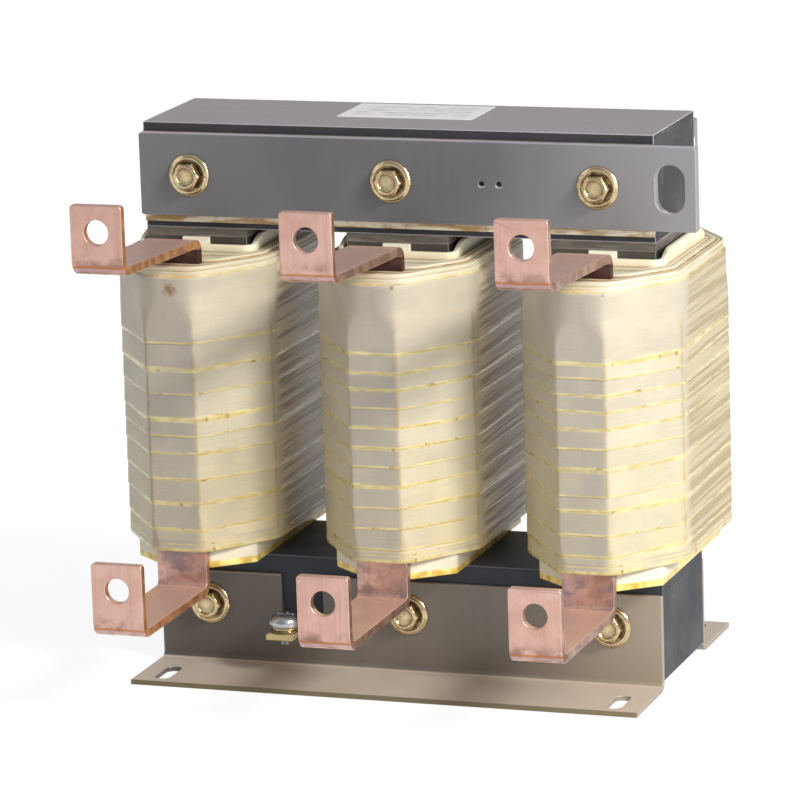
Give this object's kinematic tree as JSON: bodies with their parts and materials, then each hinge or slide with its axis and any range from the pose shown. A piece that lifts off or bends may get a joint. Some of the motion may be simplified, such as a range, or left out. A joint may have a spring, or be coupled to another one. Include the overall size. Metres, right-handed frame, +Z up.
{
  "type": "motor reactor",
  "caption": "Open three-phase iron-core motor reactor: laminated three-leg core, taped coils, bent copper terminals, clamp bars and slotted feet.",
  "frame": {"origin": "on the floor, midway between the two slots of the front foot, under the middle leg", "axes": "+X to the right along the yokes, +Y to the back away from the terminals, +Z up"},
  "size_m": [0.3425, 0.281, 0.3153],
  "materials": {
    "core": "dark varnish over stacked electrical steel",
    "gap_board": "pale glass-epoxy board",
    "clamp_steel": "dull grey zinc-plated flat bar",
    "strip_board": "cream insulating board",
    "foot_steel": "dull zinc-plated sheet with an olive cast",
    "former_board": "resin-soaked insulating former",
    "winding_copper": "enamelled flat copper winding",
    "glass_tape": "resin-soaked woven glass tape",
    "bar_copper": "bare drawn copper with a soft sheen",
    "yellow_zinc": "yellow passivated zinc",
    "bright_zinc": "bright zinc",
    "label_film": "plain white film"
  },
  "bodies": {
    "root": {"bottom_yoke": "core", "top_yoke": "core", "leg_left": "core", "leg_middle": "core", "leg_right": "core", "lower_gap_plate_left": "gap_board", "lower_gap_plate_middle": "gap_board", "lower_gap_plate_right": "gap_board", "upper_gap_plate_left": "gap_board", "upper_gap_plate_middle": "gap_board", "upper_gap_plate_right": "gap_board", "leg_wedges_left": "gap_board", "leg_wedges_middle": "gap_board", "leg_wedges_right": "gap_board", "front_clamp_bar": "clamp_steel", "rear_clamp_bar": "clamp_steel", "front_insulating_strip": "strip_board", "rear_insulating_strip": "strip_board", "front_foot": "foot_steel", "rear_foot": "foot_steel", "coil_former_left": "former_board", "coil_former_middle": "former_board", "coil_former_right": "former_board", "winding_left": "winding_copper", "winding_middle": "winding_copper", "winding_right": "winding_copper", "coil_jacket_left": "glass_tape", "coil_jacket_middle": "glass_tape", "coil_jacket_right": "glass_tape", "upper_terminal_left": "bar_copper", "upper_terminal_middle": "bar_copper", "upper_terminal_right": "bar_copper", "lower_terminal_left": "bar_copper", "lower_terminal_middle": "bar_copper", "lower_terminal_right": "bar_copper", "upper_clamp_bolts": "yellow_zinc", "upper_clamp_washers": "yellow_zinc", "upper_clamp_nuts": "yellow_zinc", "lower_clamp_bolts": "yellow_zinc", "lower_clamp_washers": "yellow_zinc", "lower_clamp_nuts": "yellow_zinc", "earth_spring_washer": "yellow_zinc", "earth_flat_washer": "yellow_zinc", "earth_screw": "bright_zinc", "blank_label": "label_film"}
  },
  "joints": []
}
